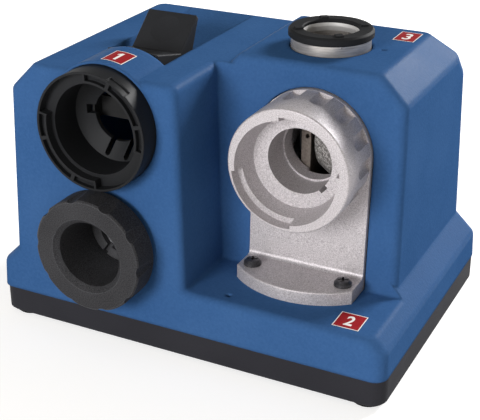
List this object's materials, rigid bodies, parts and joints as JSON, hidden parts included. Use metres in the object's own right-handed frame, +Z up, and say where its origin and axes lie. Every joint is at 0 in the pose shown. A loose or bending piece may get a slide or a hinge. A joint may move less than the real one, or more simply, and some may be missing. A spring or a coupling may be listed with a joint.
{
  "type": "drill bit sharpener",
  "caption": "Bench drill bit sharpener: moulded housing on a base tray with a setting cup, a cast grinding guide, a top splitting port, a rocker switch and a stored drill chuck.",
  "frame": {"origin": "on the table under the middle of the whole object", "axes": "+X to the right seen from the front, +Y to the back, +Z up"},
  "size_m": [0.2492, 0.2016, 0.1816],
  "materials": {
    "housing_blue": "fine moulded texture",
    "base_grey": "fine moulded texture",
    "black_plastic": "satin",
    "switch_black": "semi-gloss",
    "foot_rubber": "matt",
    "cast_alloy": "blasted casting",
    "turned_steel": "turned",
    "black_screw": "black zinc",
    "zinc_screw": "bright zinc",
    "motor_steel": "phosphated",
    "ferrite": "matt",
    "laminations": "stacked sheet",
    "copper": "enamelled wire",
    "brass": "plain",
    "carbon": "matt",
    "grit": "bonded diamond grit",
    "inner_plastic": "satin"
  },
  "bodies": {
    "housing": {"upper_housing": "housing_blue", "base_tray": "base_grey", "rubber_feet": "foot_rubber", "housing_screws": "zinc_screw", "setting_cup": "black_plastic", "cup_screws": "zinc_screw", "depth_stop": "turned_steel", "grinding_bracket": "cast_alloy", "guide_bowl": "cast_alloy", "bowl_screws": "zinc_screw", "guide_bush": "turned_steel", "bracket_screws": "black_screw", "top_sleeve": "turned_steel", "top_ring": "black_plastic", "sleeve_guide": "cast_alloy", "guide_screws": "zinc_screw", "switch_body": "black_plastic", "switch_terminals": "brass", "motor_can": "motor_steel", "rear_end_bell": "cast_alloy", "front_end_bell": "cast_alloy", "rear_bearing": "turned_steel", "front_bearing": "turned_steel", "field_magnets": "ferrite", "carbon_brushes": "carbon", "brush_holders": "brass", "motor_cradle": "cast_alloy", "motor_straps": "zinc_screw", "cradle_screws": "zinc_screw", "dust_partition": "motor_steel", "cord_gland": "black_plastic", "gland_nut": "black_plastic", "suppressor_capacitor": "inner_plastic", "terminal_block": "inner_plastic"},
    "rocker": {"rocker": "switch_black"},
    "rotor": {"motor_shaft": "turned_steel", "armature_core": "laminations", "armature_windings": "copper", "commutator": "copper", "cooling_fan": "black_plastic", "wheel_hub": "cast_alloy", "grinding_wheel": "grit", "wheel_washer": "zinc_screw", "wheel_nut": "zinc_screw"},
    "chuck": {"chuck_body": "black_plastic", "chuck_snap_ring": "turned_steel"},
    "knob": {"chuck_knob": "black_plastic"},
    "collet": {"collet": "turned_steel"}
  },
  "joints": [
    {"name": "switch_rock", "type": "hinge", "parent": "housing", "child": "rocker", "pos_m": [-0.0477, -0.01608, 0.157], "axis": [1, 0, 0], "range_deg": [-26, 0]},
    {"name": "wheel_spin", "type": "hinge", "parent": "housing", "child": "rotor", "pos_m": [0, 0.01222, 0.1215], "axis": [1, 0, 0], "continuous": true},
    {"name": "chuck_out", "type": "slide", "parent": "housing", "child": "chuck", "axis": [0, -1, 0], "range_m": [0, 0.06]},
    {"name": "knob_turn", "type": "hinge", "parent": "chuck", "child": "knob", "pos_m": [-0.0477, -0.08278, 0.0646], "axis": [0, 1, 0], "range_deg": [0, 720]},
    {"name": "collet_feed", "type": "slide", "parent": "chuck", "child": "collet", "axis": [0, 1, 0], "range_m": [0, 0.00401]}
  ],
  "couplings": [
    {"joint": "collet_feed", "follows": "knob_turn", "m_per_rad": 0.00031831}
  ]
}
